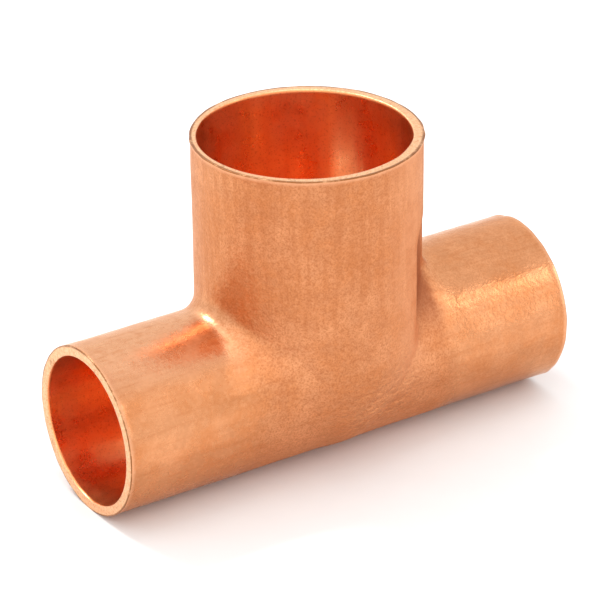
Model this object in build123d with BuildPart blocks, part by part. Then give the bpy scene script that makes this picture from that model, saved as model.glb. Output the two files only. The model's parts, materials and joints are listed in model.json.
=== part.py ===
from build123d import *
import os

# A wrought copper solder-joint tee. Half inch tube enters both ends of the run, and three
# quarter inch tube enters the larger branch. The whole fitting is one piece of metal, pressed
# out of a length of tube. The run lies along X and the branch rises along +Z. The origin is
# straight under the branch, on the surface that the run rests on. All lengths are in mm.

# Run, for tube 15.88 outside
run_length = 54.8
run_outer_radius = 9.08
run_socket_radius = 7.99
run_socket_depth = 12.7
run_throat_radius = 7.55

# Branch, for tube 22.23 outside
branch_height = 26.5  # from the run's axis up to the branch's mouth
branch_outer_radius = 12.02
branch_socket_radius = 11.165
branch_socket_depth = 19.05
branch_throat_radius = 10.6

# Body
round_under_height = 5.0  # above the run's axis, where the branch's wall starts to round under
foot_clearance = 0.13  # from the lowest point of the branch's foot down to the run's lowest line
crotch_radius = 4.5  # outside, where the branch's wall flows into the run
rim_break = 0.15  # chamfer that trimming leaves on every rim
quarter_handle = 0.5523  # share of a half axis that makes a Bezier curve a quarter ellipse

# Places that follow from the sizes above
axis_height = run_outer_radius
left_mouth = Plane(origin=(-run_length / 2, 0, axis_height), z_dir=(-1, 0, 0))
right_mouth = Plane(origin=(run_length / 2, 0, axis_height), z_dir=(1, 0, 0))
branch_mouth = Plane(origin=(0, 0, axis_height + branch_height), z_dir=(0, 0, 1))


def branched_bar(run_radius, branch_radius, blend_radius):
    """A round bar along the run with a round bar rising from it, blended where they meet.

    The rising bar ends below in an ellipsoid foot that sinks into the run's lower half, so that
    its sides taper down to the run without a ledge.
    """
    run_bottom = axis_height - run_radius
    foot_bottom = run_bottom + foot_clearance
    foot_center = axis_height + round_under_height
    foot_depth = foot_center - foot_bottom
    bar_top = axis_height + branch_height
    with BuildPart() as bar:
        with BuildSketch(right_mouth):
            Circle(run_radius)
        extrude(amount=-run_length)
        with BuildSketch(Plane.XZ):
            with BuildLine():
                Bezier(
                    (0, foot_bottom),
                    (branch_radius * quarter_handle, foot_bottom),
                    (branch_radius, foot_center - foot_depth * quarter_handle),
                    (branch_radius, foot_center),
                )
                Line((branch_radius, foot_center), (branch_radius, bar_top))
                Line((branch_radius, bar_top), (0, bar_top))
                Line((0, bar_top), (0, foot_bottom))
            make_face()
        revolve(axis=Axis.Z)
        fillet(bar.edges(Select.NEW), blend_radius)
    return bar.part


outer_skin = branched_bar(run_outer_radius, branch_outer_radius, crotch_radius)
wall = branch_outer_radius - branch_throat_radius
waterway = branched_bar(run_throat_radius, branch_throat_radius, crotch_radius + wall)

with BuildPart() as tee_body:
    add(outer_skin)
    add(waterway, mode=Mode.SUBTRACT)
    # Sockets, each ending at the step that stops the tube
    with Locations(left_mouth, right_mouth):
        Hole(radius=run_socket_radius, depth=run_socket_depth)
    with Locations(branch_mouth):
        Hole(radius=branch_socket_radius, depth=branch_socket_depth)
    # Both edges of each of the three trimmed rims
    by_length = tee_body.edges().group_by(Axis.X)
    by_height = tee_body.edges().group_by(Axis.Z)
    chamfer(by_length[0] + by_length[-1] + by_height[-1], rim_break)

tee_body.part.label = "tee_body"

os.makedirs("parts", exist_ok=True)
export_step(tee_body.part, "parts/tee_body.step")
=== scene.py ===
import json
import math

import bpy
import numpy as np
from mathutils import Matrix, Vector


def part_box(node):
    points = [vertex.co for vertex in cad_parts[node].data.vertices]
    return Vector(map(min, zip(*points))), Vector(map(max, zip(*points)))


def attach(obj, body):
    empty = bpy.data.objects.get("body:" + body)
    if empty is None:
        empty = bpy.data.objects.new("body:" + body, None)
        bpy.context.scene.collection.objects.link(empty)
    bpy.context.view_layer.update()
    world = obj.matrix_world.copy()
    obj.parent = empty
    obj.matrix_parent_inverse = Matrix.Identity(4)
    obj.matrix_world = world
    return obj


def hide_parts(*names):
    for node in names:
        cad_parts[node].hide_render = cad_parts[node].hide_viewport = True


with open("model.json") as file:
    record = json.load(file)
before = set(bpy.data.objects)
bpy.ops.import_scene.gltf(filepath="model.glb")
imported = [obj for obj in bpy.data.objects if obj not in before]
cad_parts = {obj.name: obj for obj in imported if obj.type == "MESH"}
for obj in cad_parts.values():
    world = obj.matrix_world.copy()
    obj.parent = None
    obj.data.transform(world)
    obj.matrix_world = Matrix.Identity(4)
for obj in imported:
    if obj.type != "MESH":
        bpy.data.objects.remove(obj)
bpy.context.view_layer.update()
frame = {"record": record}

# ---------------------------------------------------------------- sizes
# Shapes are worked out in millimetres with the origin where the axes of the run and the branch cross:
# X along the run, Z up the branch. METRE takes them to the frame's metres.
METRE = 0.001
mounts = {mount["name"]: mount for mount in frame["record"]["mounts"]}
_, tee_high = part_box("tee_body")
axis_height = mounts["run_socket_left"]["pos_m"][2] / METRE
run_radius = axis_height
run_half = tee_high.x / METRE
branch_radius = 12.02
branch_top = tee_high.z / METRE - axis_height
run_socket_radius = mounts["run_socket_left"]["dims"]["r_mm"]
branch_socket_radius = mounts["branch_socket"]["dims"]["r_mm"]
run_stop = run_half - 12.7
branch_stop = branch_top - 19.05
run_throat_radius = 7.55
branch_throat_radius = 10.6
stop_width = 0.7

# The branch rounds under below foot_start, and its foot stays foot_gap inside the run's wall.
foot_start = 5.0
foot_gap = 0.13
outer_foot = run_radius - foot_gap
inner_foot = run_throat_radius - foot_gap
inner_blend = 5.9
least_blend = 0.3

# Fillets where the branch meets the run: how far each goes up the branch and out along the run. The right
# one takes over from the left one within side_blend of the middle. Low down both grow to low_blend, from
# low_blend_top downwards, or from low_blend_left_top at the front left.
left_rise, left_reach = 2.0, 2.0
right_rise, right_reach = 1.8, 6.0
side_blend = 6.0
low_blend = 12.0
low_blend_left_top = 9.2
low_blend_top = 5.0
low_blend_fade = 6.0

# A small web of metal fills the right crotch in the middle.
web_face = 12.45
web_radius = 2.2
web_half_width = 2.6
web_edge = 1.8
web_top = 18.6
web_top_fade = 2.4
web_foot_fade = 5.0

# On each side of the web a dent is pressed into the branch.
tuck_depth = 0.75
tuck_side = 7.2
tuck_width = 3.0
tuck_top = 17.9
tuck_top_fade = 3.6
tuck_foot = 3.0
tuck_foot_fade = 4.0

# The mouths: a slight flare and a burr outside, with both edges of the cut end broken.
run_lip = 0.03
branch_lip = 0.12
lip_length = 1.0
rim_break = 0.09
burr = 0.022
burr_size = 2.4
rim_inner_break = 0.10
bore_shift = np.array([-0.22, 0.145, 0.0])
bore_shift_length = 12.0

# Creases low on the front, and the unevenness of the walls: length of the waves and their depth.
wrinkle_centre = np.array([2.6, -10.0, -2.0])
wrinkle_reach = np.array([6.0, 8.0, 7.5])
wrinkle_size, wrinkle_depth = 1.9, 0.040
wall_size, wall_depth = 9.0, 0.014
fine_size, fine_depth = 2.6, 0.0035
bore_size, bore_depth = 5.0, 0.015
# The waves of the inside are longer up the branch than across it.
bore_squeeze = [1, 1, 0.35]

# The mesh starts from a block with three square arms, RINGS quads along each edge, and is then relaxed.
RINGS = 50
RELAX_ROUNDS = 60
block_x, block_y, block_z = 9.6, 9.5, 7.0
run_arm_rise = 3.5
branch_arm_start, branch_arm_rise = 6.5, 4.0

WAVES = 24
FINE_WAVES = 30
SEED = 11


# ---------------------------------------------------------------- shape of the tee
def smooth(t):
    t = np.clip(t, 0.0, 1.0)
    return t * t * (3.0 - 2.0 * t)


def branch_distance(x, y, z, radius, foot):
    """Distance to an upright cylinder that rounds under below foot_start, and its gradient in y and z."""
    depth = foot_start + foot
    below = np.minimum(z - foot_start, 0.0)
    ratio = np.sqrt((x / radius) ** 2 + (y / radius) ** 2 + (below / depth) ** 2)
    slope_x, slope_y, slope_z = x / radius**2, y / radius**2, below / depth**2
    slope = np.maximum(np.sqrt(slope_x**2 + slope_y**2 + slope_z**2), 1e-9)
    return ratio * (ratio - 1.0) / slope, slope_y / slope, slope_z / slope


def rounded_union(a, b, reach_a, reach_b):
    """Union of two solids with a concave fillet that starts reach_a from a and reach_b from b."""
    near_a, near_b = a / reach_a, b / reach_b
    corner = np.hypot(np.maximum(1.0 - near_a, 0.0), np.maximum(1.0 - near_b, 0.0))
    return (np.maximum(1.0, np.minimum(near_a, near_b)) - corner) * np.sqrt(reach_a * reach_b)


def lip(along):
    """Share of a mouth's flare or burr reached at this distance from the mouth."""
    return smooth(1.0 - along / lip_length) ** 2


def outside(p):
    """Field of the outer skin, negative inside the metal."""
    x, y, z = p.T
    side = np.abs(y)
    right = smooth((x + side_blend) / (2.0 * side_blend))
    across = np.maximum(np.hypot(y, z), 1e-9)
    run = across - run_radius - run_lip * lip(run_half - np.abs(x))
    branch, toward_y, toward_z = branch_distance(x, y, z, branch_radius, outer_foot)
    branch = branch - branch_lip * lip(branch_top - z)
    # The dents beside the web.
    tuck = tuck_depth * right * smooth(1.0 - np.abs(side - tuck_side) / tuck_width)
    tuck = tuck * smooth((tuck_top - z) / tuck_top_fade) * smooth((z - tuck_foot) / tuck_foot_fade)
    branch = branch + tuck
    # The fillet fades out where the two walls face the same way.
    alike = (y * toward_y + z * toward_z) / across
    spread = np.clip(1.0 - alike, 0.0, 2.0)
    front_left = (1.0 - right) * smooth(0.5 - y / 4.0)
    low_top = low_blend_top + (low_blend_left_top - low_blend_top) * front_left
    low = smooth((low_top - z) / low_blend_fade)
    rise = left_rise + (right_rise - left_rise) * right
    reach = left_reach + (right_reach - left_reach) * right
    rise = np.maximum((rise + (low_blend - rise) * low) * spread, least_blend)
    reach = np.maximum((reach + (low_blend - reach) * low) * spread, least_blend)
    body = rounded_union(run, branch, rise, reach)
    # The web in the right crotch.
    web = rounded_union(run, x - web_face, web_radius, web_radius)
    share = (1.0 - smooth((side - web_half_width) / web_edge)) * smooth((web_top - z) / web_top_fade)
    share = share * smooth(z / web_foot_fade)
    return body + np.minimum(web - body, 0.0) * share * (x > 0)


def inside(p):
    """Field of the waterway, with the step in each socket that stops the tube."""
    x, y, z = p.T
    across = np.maximum(np.hypot(y, z), 1e-9)
    run_step = smooth((np.abs(x) - run_stop) / stop_width)
    branch_step = smooth((z - branch_stop) / stop_width)
    run = across - run_throat_radius - (run_socket_radius - run_throat_radius) * run_step
    branch, toward_y, toward_z = branch_distance(x, y, z, branch_throat_radius, inner_foot)
    branch = branch - (branch_socket_radius - branch_throat_radius) * branch_step
    alike = (y * toward_y + z * toward_z) / across
    radius = np.maximum(inner_blend * np.clip(1.0 - alike, 0.0, 2.0), least_blend)
    return rounded_union(run, branch, radius, radius)


def gradient(field, p, step=1e-3):
    slopes = []
    for axis in np.eye(3) * step:
        slopes.append((field(p + axis) - field(p - axis)) / (2.0 * step))
    return np.stack(slopes, axis=1)


def project(field, p, rounds, limit=1.5):
    """Moves points along the gradient onto the field's zero surface."""
    for _ in range(rounds):
        slopes = gradient(field, p)
        step = slopes * (field(p) / np.maximum((slopes**2).sum(axis=1), 1e-6))[:, None]
        length = np.maximum(np.linalg.norm(step, axis=1, keepdims=True), 1e-9)
        p = p - step * np.minimum(1.0, limit / length)
    return p


# ---------------------------------------------------------------- mesh of one skin
def cage(n):
    """Quads and lattice places of a cube whose -X, +X and +Z faces grow into square tubes of n rings."""
    quads, number, places = [], {}, []

    def vertex(place):
        if place not in number:
            number[place] = len(places)
            places.append(place)
        return number[place]

    def patch(start, first, second, size_first, size_second):
        start, first, second = np.array(start), np.array(first), np.array(second)
        for i in range(size_first):
            for j in range(size_second):
                corners = ((i, j), (i + 1, j), (i + 1, j + 1), (i, j + 1))
                quads.append([vertex(tuple(start + first * a + second * b)) for a, b in corners])

    X, Y, Z = (1, 0, 0), (0, 1, 0), (0, 0, 1)
    patch((0, 0, 0), Y, X, n, n)
    patch((0, 0, 0), X, Z, n, n)
    patch((0, n, 0), Z, X, n, n)
    for start in (-n, n):
        patch((start, 0, 0), Y, X, n, n)
        patch((start, 0, 0), X, Z, n, n)
        patch((start, n, 0), Z, X, n, n)
        patch((start, 0, n), X, Y, n, n)
    patch((0, 0, n), X, Z, n, n)
    patch((0, n, n), Z, X, n, n)
    patch((0, 0, n), Z, Y, n, n)
    patch((n, 0, n), Y, Z, n, n)
    return np.array(quads), np.array(places, float)


def ring_angle(u, v):
    """Angle round a square ring, u and v from -1 to 1; equal steps along the square give equal angles."""
    size = np.maximum(np.maximum(np.abs(u), np.abs(v)), 1e-9)
    u, v = u / size, v / size
    eighth = math.pi / 4
    sides = [u > 1 - 1e-9, v > 1 - 1e-9, u < -1 + 1e-9]
    angles = [v * eighth, 2 * eighth - u * eighth, 4 * eighth - v * eighth]
    return np.select(sides, angles, -2 * eighth + u * eighth)


def first_guess(n, places, run_at_mouth, branch_at_mouth, end_x, end_z):
    """Where each lattice place starts before it is projected onto a field."""
    u, v, w = (places / n * 2.0 - 1.0).T
    x, _, z = places.T
    on_run = (x < 0) | (x > n)
    on_branch = z > n
    points = np.stack([u * block_x, v * block_y, w * block_z], axis=1)
    angle = ring_angle(v, w)
    along = np.where(x < 0, -x / n, (x - n) / n)
    start = block_x + run_arm_rise * np.clip(np.sin(angle), 0, 1) ** 2
    reach = np.sign(x - n / 2) * (start + (end_x - start) * along)
    arm = np.stack([reach, run_at_mouth * np.cos(angle), run_at_mouth * np.sin(angle)], axis=1)
    points[on_run] = arm[on_run]
    angle = ring_angle(u, v)
    start = branch_arm_start + branch_arm_rise * np.cos(angle) ** 2
    reach = start + (end_z - start) * (z - n) / n
    arm = np.stack([branch_at_mouth * np.cos(angle), branch_at_mouth * np.sin(angle), reach], axis=1)
    points[on_branch] = arm[on_branch]
    return points


def skin(field, n, run_at_mouth, branch_at_mouth, end_x, end_z):
    """Even quads over one side of the tee wall. Also gives the vertices round each mouth, in order."""
    quads, places = cage(n)
    points = first_guess(n, places, run_at_mouth, branch_at_mouth, end_x, end_z)
    mouths = [places[:, 0] == -n, places[:, 0] == 2 * n, places[:, 2] == 2 * n]
    held = mouths[0] | mouths[1] | mouths[2]
    fixed = points[held]
    points = project(field, points, 6, 3.0)
    points[held] = fixed
    sides = np.concatenate([quads[:, [0, 1]], quads[:, [1, 2]], quads[:, [2, 3]], quads[:, [3, 0]]])
    sides = np.unique(np.sort(sides, axis=1), axis=0)
    one = np.concatenate([sides[:, 0], sides[:, 1]])
    other = np.concatenate([sides[:, 1], sides[:, 0]])
    count = np.bincount(one, minlength=len(points))
    for _ in range(RELAX_ROUNDS):
        mean = np.stack([np.bincount(one, points[other, k], len(points)) / count for k in range(3)], axis=1)
        mean[held] = fixed
        points = project(field, points + 0.7 * (mean - points), 1)
        points[held] = fixed
    rings = []
    for mouth, flat in zip(mouths, ((1, 2), (1, 2), (0, 1))):
        members = np.nonzero(mouth)[0]
        angle = np.arctan2(points[members, flat[1]], points[members, flat[0]])
        rings.append(members[np.argsort(angle)])
    return quads, points, rings


# ---------------------------------------------------------------- the whole tee
outer_end_x = run_half - rim_break
outer_end_z = branch_top - rim_break
inner_end_x = run_half - rim_inner_break
inner_end_z = branch_top - rim_inner_break
outer_quads, outer_points, outer_rings = skin(
    outside, RINGS, run_radius + run_lip, branch_radius + branch_lip, outer_end_x, outer_end_z
)
inner_quads, inner_points, inner_rings = skin(
    inside, RINGS, run_socket_radius, branch_socket_radius, inner_end_x, inner_end_z
)


def waves(points, size, depth, count, draw):
    """Smooth random height over the points: a sum of plane waves about size millimetres long."""
    height = np.zeros(len(points))
    for _ in range(count):
        way = draw.normal(size=3)
        way *= 2.0 * math.pi / (size * draw.uniform(0.7, 1.4)) / np.linalg.norm(way)
        height += np.sin(points @ way + draw.uniform(0, 2 * math.pi))
    return height * depth / math.sqrt(count / 2)


draw = np.random.default_rng(SEED)
outward = gradient(outside, outer_points)
outward /= np.linalg.norm(outward, axis=1, keepdims=True)
uneven = waves(outer_points, wall_size, wall_depth, WAVES, draw)
uneven = uneven + waves(outer_points, fine_size, fine_depth, FINE_WAVES, draw)
wrinkled = smooth(1.0 - np.linalg.norm((outer_points - wrinkle_centre) / wrinkle_reach, axis=1))
uneven = uneven + wrinkled * waves(outer_points, wrinkle_size, wrinkle_depth, WAVES, draw)
to_mouth = np.minimum(run_half - np.abs(outer_points[:, 0]), branch_top - outer_points[:, 2])
uneven = uneven + lip(to_mouth) * waves(outer_points, burr_size, burr, WAVES, draw)
outer_points = outer_points + outward * uneven[:, None]
inward = gradient(inside, inner_points)
inward /= np.linalg.norm(inward, axis=1, keepdims=True)
uneven = waves(inner_points * bore_squeeze, bore_size, bore_depth, WAVES, draw)
inner_points = inner_points + inward * uneven[:, None]
off_centre = smooth(1.0 - (branch_top - inner_points[:, 2]) / bore_shift_length)
inner_points = inner_points + off_centre[:, None] * bore_shift


def rim(outer, inner, axis, end):
    """Points across one cut end, ring by ring from the outer skin to the inner one."""
    spoke = inner - outer
    spoke[:, axis] = 0
    spoke /= np.linalg.norm(spoke, axis=1, keepdims=True)
    rings = []
    for turn in (1, 2, 3):
        angle = turn * math.pi / 6
        ring = outer + spoke * rim_break * (1 - math.cos(angle))
        ring[:, axis] = outer[:, axis] + (end - outer[:, axis]) * math.sin(angle)
        rings.append(ring)
    top = rings[-1]
    bottom = inner - spoke * rim_inner_break
    bottom[:, axis] = end
    for share in (0.12, 0.35, 0.65, 0.88, 1.0):
        rings.append(top + (bottom - top) * share)
    return rings


# Material slots of the one mesh, in the order the materials are added below.
OUTSIDE, CUT, INSIDE = 0, 1, 2
points = [outer_points, inner_points]
faces = [(outer_quads, OUTSIDE), (inner_quads[:, ::-1] + len(outer_points), INSIDE)]
total = len(outer_points) + len(inner_points)
for outer_ring, inner_ring, axis, end in zip(
    outer_rings, inner_rings, (0, 0, 2), (-run_half, run_half, branch_top)
):
    across = rim(outer_points[outer_ring], inner_points[inner_ring], axis, end)
    size = len(outer_ring)
    numbers = [outer_ring]
    for ring in across:
        points.append(ring)
        numbers.append(np.arange(total, total + size))
        total += size
    numbers.append(inner_ring + len(outer_points))
    for one, other in zip(numbers, numbers[1:]):
        strip = np.stack([one, np.roll(one, -1), np.roll(other, -1), other], axis=1)
        if end < 0:
            strip = strip[:, ::-1]
        faces.append((strip, CUT))

points = np.concatenate(points)
points = (points + [0.0, 0.0, axis_height]) * METRE
mesh = bpy.data.meshes.new("copper_tee")
quads = np.concatenate([group for group, _ in faces])
mesh.from_pydata(points.tolist(), [], quads.tolist())
kinds = np.concatenate([np.full(len(group), kind) for group, kind in faces])
mesh.polygons.foreach_set("material_index", kinds.astype(np.int32))
mesh.polygons.foreach_set("use_smooth", np.ones(len(kinds), bool))
mesh.update()
tee = bpy.data.objects.new("copper_tee", mesh)
bpy.context.scene.collection.objects.link(tee)
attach(tee, "root")
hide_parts("tee_body")


# ---------------------------------------------------------------- materials
class Graph:
    """A new material with its nodes, and short calls that add and join them."""

    def __init__(self, name):
        self.material = bpy.data.materials.new(name)
        self.material.use_nodes = True
        self.tree = self.material.node_tree
        self.shader = self.tree.nodes["Principled BSDF"]
        place = self.tree.nodes.new("ShaderNodeTexCoord").outputs["Object"]
        self.place = self.mapped(place, (1 / METRE,) * 3)
        parts = self.tree.nodes.new("ShaderNodeSeparateXYZ")
        self.tree.links.new(self.place, parts.inputs[0])
        self.x, self.y, self.z = parts.outputs

    def put(self, socket, value):
        if isinstance(value, bpy.types.NodeSocket):
            self.tree.links.new(value, socket)
        else:
            socket.default_value = value

    def mapped(self, place, scale):
        node = self.tree.nodes.new("ShaderNodeMapping")
        self.put(node.inputs["Vector"], place)
        self.put(node.inputs["Scale"], scale)
        return node.outputs[0]

    def noise(self, size, stretch=(1, 1, 1), detail=2.0, rough=0.55):
        """Noise with lumps about size millimetres long, times stretch along each axis."""
        node = self.tree.nodes.new("ShaderNodeTexNoise")
        self.put(node.inputs["Vector"], self.mapped(self.place, tuple(1 / (size * s) for s in stretch)))
        self.put(node.inputs["Scale"], 1.0)
        self.put(node.inputs["Detail"], detail)
        self.put(node.inputs["Roughness"], rough)
        return node.outputs["Fac"]

    def math(self, kind, a, b=0.0):
        node = self.tree.nodes.new("ShaderNodeMath")
        node.operation = kind
        self.put(node.inputs[0], a)
        self.put(node.inputs[1], b)
        return node.outputs[0]

    def root(self, a, b):
        """Distance from an axis, from the two coordinates across it."""
        square = self.math("ADD", self.math("MULTIPLY", a, a), self.math("MULTIPLY", b, b))
        return self.math("SQRT", square)

    def fade(self, value, low, high, to_low=0.0, to_high=1.0):
        """Value taken smoothly from low..high to to_low..to_high."""
        node = self.tree.nodes.new("ShaderNodeMapRange")
        node.interpolation_type = "SMOOTHSTEP"
        for socket, number in zip(node.inputs, (value, low, high, to_low, to_high)):
            self.put(socket, number)
        return node.outputs[0]

    def band(self, value, low, low_full, high_full, high):
        """One from low_full to high_full, falling smoothly to nothing at low and high."""
        return self.product(self.fade(value, low, low_full), self.fade(value, high_full, high, 1.0, 0.0))

    def product(self, first, *others):
        for other in others:
            first = self.math("MULTIPLY", first, other)
        return first

    def mix(self, share, a, b):
        node = self.tree.nodes.new("ShaderNodeMix")
        node.data_type = "RGBA"
        self.put(node.inputs[0], share)
        self.put(node.inputs[6], a)
        self.put(node.inputs[7], b)
        return node.outputs[2]

    def bump(self, height, depth, normal=None):
        """Bump whose height runs over depth millimetres."""
        node = self.tree.nodes.new("ShaderNodeBump")
        self.put(node.inputs["Height"], height)
        self.put(node.inputs["Distance"], depth * METRE)
        if normal is not None:
            self.put(node.inputs["Normal"], normal)
        return node.outputs[0]

    def finish(self, colour, roughness, normal):
        self.put(self.shader.inputs["Base Color"], colour)
        self.put(self.shader.inputs["Roughness"], roughness)
        self.put(self.shader.inputs["Normal"], normal)
        self.put(self.shader.inputs["Metallic"], 1.0)
        return self.material


def rgb(red, green, blue):
    return (red, green, blue, 1.0)


def groove_painted_shade(g, height, clouds):
    """Share of the painted shade in the dents on the right of the branch: dark red where the hollows would lie
    in shade, with an edge broken by the clouds.
    """
    sideways = g.math("ADD", g.math("ABSOLUTE", g.y), g.product(clouds, 1.2))
    across = g.product(g.band(g.x, 6.6, 9.6, 11.0, 12.4), g.band(sideways, 3.0, 6.0, 7.4, 10.2))
    return g.product(across, g.fade(height, 1.0, 8.5), g.fade(height, tuck_top - 6.0, tuck_top, 0.7, 0.0))


def crease_patch(g, height, clouds):
    """Share of the creased patch low on the front. It carries the crease bumps and the painted shade in their
    hollows.
    """
    from_x = g.math("SUBTRACT", g.x, wrinkle_centre[0])
    from_z = g.math("SUBTRACT", height, wrinkle_centre[2])
    near = g.math("SUBTRACT", g.root(from_x, from_z), g.product(clouds, 2.0))
    return g.product(g.fade(near, 0.0, 6.5, 1.0, 0.0), g.fade(g.y, -9.0, -5.0, 1.0, 0.0))


def band_painted_highlight(g, height, clouds):
    """Share of the painted highlight: a paler upright band on the front of the branch, beside the dent, where
    more light is reflected.
    """
    across = g.product(g.band(g.x, 0.0, 6.5, 6.8, 9.2), g.fade(g.y, -9.5, -4.0, 0.6, 0.0))
    return g.product(across, g.fade(height, -4.0, 4.0), g.fade(clouds, 0.0, 1.0, 0.5, 1.0))


def top_painted_highlight(g, height):
    """Share of the painted highlight: paler copper on top of the run's left side, where more light is
    reflected.
    """
    return g.product(g.fade(g.x, -14.0, -10.5, 0.75, 0.0), g.band(height, 5.5, 8.5, 9.2, 11.5))


def worn_edges(g, height, peel):
    """Share of the bright wear along the outer edge of each mouth."""
    along = g.math("SUBTRACT", g.math("ABSOLUTE", g.x), run_half - branch_top)
    reach = g.math("ADD", g.math("MAXIMUM", along, height), g.product(peel, 0.5))
    return g.fade(reach, branch_top - 0.35, branch_top + 0.1, 0.0, 0.7)


def satin_copper():
    """The drawn and pickled outside: mottling, draw marks along each tube and fine grain, calmer and smoother
    towards the run's mouths, with painted shade in the dents and creases, painted highlights on the run's left
    top and on a band of the branch's front, and worn mouth edges."""
    g = Graph("satin_copper")
    height = g.math("SUBTRACT", g.z, axis_height)
    on_branch = g.fade(height, 6.0, 12.0)
    patches = g.fade(g.noise(5.0, detail=3.0), 0.38, 0.66)
    clouds = g.fade(g.noise(1.7, detail=4.0, rough=0.62), 0.35, 0.68)
    grain = g.noise(0.20, detail=3.0, rough=0.65)
    peel = g.noise(0.45, detail=2.0)
    upright = g.noise(0.85, (1, 1, 12), detail=3.0, rough=0.6)
    lying = g.noise(0.55, (14, 1, 1), detail=3.0, rough=0.6)
    streaks = g.mix(on_branch, g.product(lying, 0.8), upright)
    creases = g.noise(0.7, (1.8, 1, 1), detail=2.0, rough=0.5)
    creased = crease_patch(g, height, clouds)
    calm = g.fade(g.math("ABSOLUTE", g.x), 11.0, 14.0)
    lively = g.math("SUBTRACT", 1.0, g.product(calm, g.fade(g.x, -4.0, 4.0, 0.75, 0.5)))

    colour = g.mix(patches, rgb(0.625, 0.238, 0.092), rgb(0.715, 0.312, 0.143))
    layers = (
        (g.product(clouds, 0.7), rgb(0.60, 0.262, 0.120)),
        # painted highlight: paler copper on top of the run's left side
        (top_painted_highlight(g, height), rgb(0.77, 0.42, 0.245)),
        (g.fade(streaks, 0.38, 0.62, 0.0, 0.55), rgb(0.54, 0.195, 0.073)),
        (g.product(g.fade(grain, 0.40, 0.66, 0.0, 0.7), lively), rgb(0.46, 0.155, 0.056)),
        (g.fade(peel, 0.25, 0.55, 0.22, 0.0), rgb(0.84, 0.40, 0.20)),
        # painted shade: dark red in the dents beside the web
        (groove_painted_shade(g, height, clouds), rgb(0.26, 0.066, 0.028)),
        # painted shade: darker copper in the hollows of the creases
        (g.product(g.fade(creases, 0.36, 0.46, 0.35, 0.0), creased), rgb(0.40, 0.140, 0.055)),
        # painted highlight: paler upright band on the branch's front
        (band_painted_highlight(g, height, clouds), rgb(0.78, 0.37, 0.19)),
        (worn_edges(g, height, peel), rgb(0.80, 0.40, 0.22)),
    )
    for share, layer in layers:
        colour = g.mix(share, colour, layer)

    rough_branch = g.fade(g.x, -11.8, -9.5, 0.38, 0.50)
    rough_run = g.fade(g.x, -4.0, 4.0, 0.25, 0.18)
    smoother = g.product(calm, g.math("SUBTRACT", rough_run, rough_branch))
    roughness = g.math("ADD", rough_branch, smoother)
    roughness = g.math("ADD", roughness, g.fade(clouds, 0.0, 1.0, -0.03, 0.05))
    roughness = g.math("ADD", roughness, g.product(streaks, 0.06))

    normal = g.bump(g.product(g.fade(creases, 0.40, 0.60), creased), 0.10)
    for relief, depth in ((peel, 0.060), (streaks, 0.012), (grain, 0.022)):
        normal = g.bump(g.product(relief, lively), depth, normal)
    g.put(g.shader.inputs["Specular Tint"], rgb(1.0, 0.90, 0.80))
    return g.finish(colour, roughness, normal)


def cut_copper():
    """The cut ends: bright bare metal with a dull, nicked outer edge, fine tool marks and small specks."""
    g = Graph("cut_copper")
    fine = g.noise(0.30, detail=4.0, rough=0.7)
    specks = g.noise(0.16, detail=2.0, rough=0.6)
    nicks = g.noise(2.2, detail=5.0, rough=0.75)
    height = g.math("SUBTRACT", g.z, axis_height)
    round_branch = g.root(g.x, g.y)
    round_run = g.root(g.y, height)
    up_edge = g.fade(round_branch, branch_radius - 0.25, branch_radius - 0.05)
    side_edge = g.fade(round_run, run_radius - 0.20, run_radius - 0.05)
    edge = g.mix(g.fade(height, 14.0, 15.0), side_edge, up_edge)
    dull = g.math("MULTIPLY", edge, g.fade(nicks, 0.36, 0.52, 0.4, 1.0))
    colour = g.mix(g.fade(fine, 0.35, 0.7), rgb(0.92, 0.55, 0.30), rgb(0.80, 0.40, 0.20))
    colour = g.mix(g.fade(specks, 0.55, 0.70, 0.0, 0.7), colour, rgb(0.50, 0.20, 0.08))
    colour = g.mix(g.fade(nicks, 0.58, 0.68, 0.0, 0.6), colour, rgb(0.34, 0.15, 0.05))
    colour = g.mix(dull, colour, rgb(0.30, 0.115, 0.040))
    roughness = g.fade(fine, 0.3, 0.7, 0.28, 0.46)
    normal = g.bump(fine, 0.04)
    normal = g.bump(nicks, 0.08, normal)
    return g.finish(colour, roughness, normal)


def inner_copper():
    """The inside: redder and smoother, with marks along each bore."""
    g = Graph("inner_copper")
    height = g.math("SUBTRACT", g.z, axis_height)
    in_branch = g.fade(height, 7.0, 10.0)
    clouds = g.noise(2.6, detail=4.0, rough=0.6)
    upright = g.noise(1.5, (1, 1, 12), detail=2.0, rough=0.5)
    lying = g.noise(1.2, (10, 1, 1), detail=2.0, rough=0.5)
    streaks = g.mix(in_branch, lying, upright)
    grain = g.noise(0.22, detail=3.0, rough=0.6)
    colour = g.mix(g.fade(streaks, 0.3, 0.7), rgb(0.98, 0.44, 0.19), rgb(0.95, 0.38, 0.145))
    colour = g.mix(g.fade(clouds, 0.42, 0.7, 0.0, 0.5), colour, rgb(0.90, 0.30, 0.12))
    colour = g.mix(g.fade(grain, 0.50, 0.72, 0.0, 0.55), colour, rgb(0.62, 0.21, 0.08))
    roughness = g.fade(clouds, 0.3, 0.7, 0.26, 0.38)
    normal = g.bump(streaks, 0.030)
    normal = g.bump(grain, 0.002, normal)
    g.put(g.shader.inputs["Specular Tint"], rgb(1.0, 0.60, 0.40))
    return g.finish(colour, roughness, normal)


materials = {OUTSIDE: satin_copper(), CUT: cut_copper(), INSIDE: inner_copper()}
for number in sorted(materials):
    mesh.materials.append(materials[number])


# ---------------------------------------------------------------- studio
def pale_floor():
    """Matt white with faint, broad unevenness."""
    g = Graph("pale_floor")
    shade = g.noise(4.0, detail=3.0)
    g.put(g.shader.inputs["Base Color"], g.mix(shade, rgb(0.80, 0.80, 0.80), rgb(0.83, 0.83, 0.83)))
    g.put(g.shader.inputs["Roughness"], 0.7)
    return g.material


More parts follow.
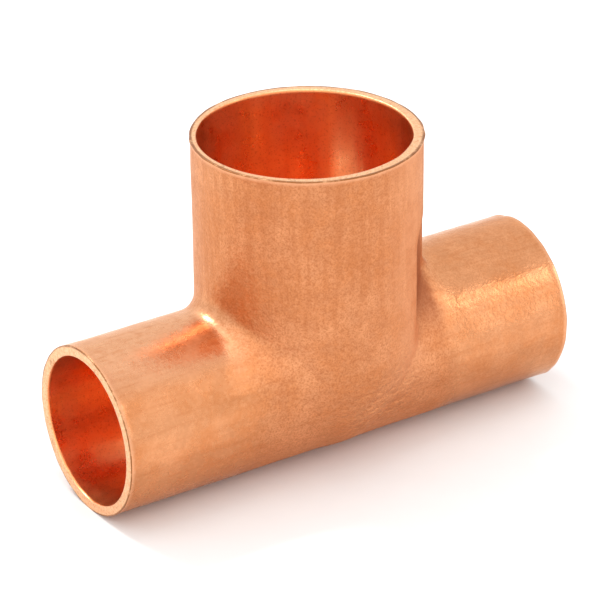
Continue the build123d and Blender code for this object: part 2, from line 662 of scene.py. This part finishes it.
floor_half = 3.0
corners = [(x * floor_half, y * floor_half, 0) for x, y in ((-1, -1), (1, -1), (1, 1), (-1, 1))]
floor_mesh = bpy.data.meshes.new("floor")
floor_mesh.from_pydata(corners, [], [(0, 1, 2, 3)])
floor_mesh.materials.append(pale_floor())
floor = bpy.data.objects.new("floor", floor_mesh)
bpy.context.scene.collection.objects.link(floor)

sky_strength = 1.18
world = bpy.data.worlds.new("studio")
bpy.context.scene.world = world
world.use_nodes = True
backdrop = world.node_tree.nodes["Background"]
backdrop.inputs["Color"].default_value = (1.0, 1.0, 1.0, 1.0)
backdrop.inputs["Strength"].default_value = sky_strength

centre = Vector((0.0, 0.0, axis_height * METRE))


def panel(name, along, elevation, distance, width, height, radiance):
    """A soft panel that faces the run's axis, with its width along X. All lengths are in metres. Its centre is
    at along in X and distance from the axis. Elevation 0 is in front, 90 overhead and 180 behind."""
    light = bpy.data.lights.new(name, "AREA")
    light.shape = "RECTANGLE"
    light.size = width
    light.size_y = height
    light.energy = radiance * math.pi * width * height
    holder = bpy.data.objects.new(name, light)
    angle = math.radians(elevation)
    way = Vector((0.0, -math.cos(angle), math.sin(angle)))
    across = Vector((0.0, math.sin(angle), math.cos(angle)))
    turn = Matrix((Vector((1.0, 0.0, 0.0)), across, way)).transposed()
    place = centre + Vector((along, 0.0, 0.0)) + way * distance
    holder.matrix_world = Matrix.Translation(place) @ turn.to_4x4()
    bpy.context.scene.collection.objects.link(holder)


panel(
    "overhead", along=0.0, elevation=90.0, distance=0.8,
    width=0.3, height=0.3, radiance=1.8,
)
panel(
    "key", along=-0.62, elevation=50.0, distance=0.8,
    width=1.6, height=1.1, radiance=0.65,
)
panel(
    "front_low", along=0.49, elevation=12.0, distance=0.5,
    width=0.34, height=0.46, radiance=0.75,
)
panel(
    "front_high", along=0.49, elevation=47.0, distance=0.5,
    width=0.34, height=0.16, radiance=2.1,
)
panel(
    "back_lamp", along=-0.11, elevation=125.5, distance=0.6,
    width=0.12, height=0.07, radiance=52.0,
)

# ---------------------------------------------------------------- camera
# Fitted to the outlines in the photo. Distances are in branch radii from where the axes cross.
azimuth, elevation, roll = (math.radians(a) for a in (-33.1132, 26.9278, -0.5689))
camera_back, camera_right, camera_up = 31.2746, -0.0739, 0.5359
back = Vector(
    (math.sin(azimuth) * math.cos(elevation), -math.cos(azimuth) * math.cos(elevation), math.sin(elevation))
)
right = Vector((math.cos(azimuth), math.sin(azimuth), 0.0))
up = back.cross(right)
unit = branch_radius * METRE
camera = bpy.data.cameras.new("camera")
camera.lens = 212.51
camera.sensor_width = 36.0
camera.clip_start = 0.01
camera.clip_end = 20.0
view = bpy.data.objects.new("camera", camera)
spot = centre + (back * camera_back + right * camera_right + up * camera_up) * unit
turned_right = right * math.cos(roll) + up * math.sin(roll)
turned_up = up * math.cos(roll) - right * math.sin(roll)
turn = Matrix((turned_right, turned_up, back)).transposed()
view.matrix_world = Matrix.Translation(spot) @ turn.to_4x4()
bpy.context.scene.collection.objects.link(view)
bpy.context.scene.camera = view
bpy.context.scene.view_settings.view_transform = "Standard"
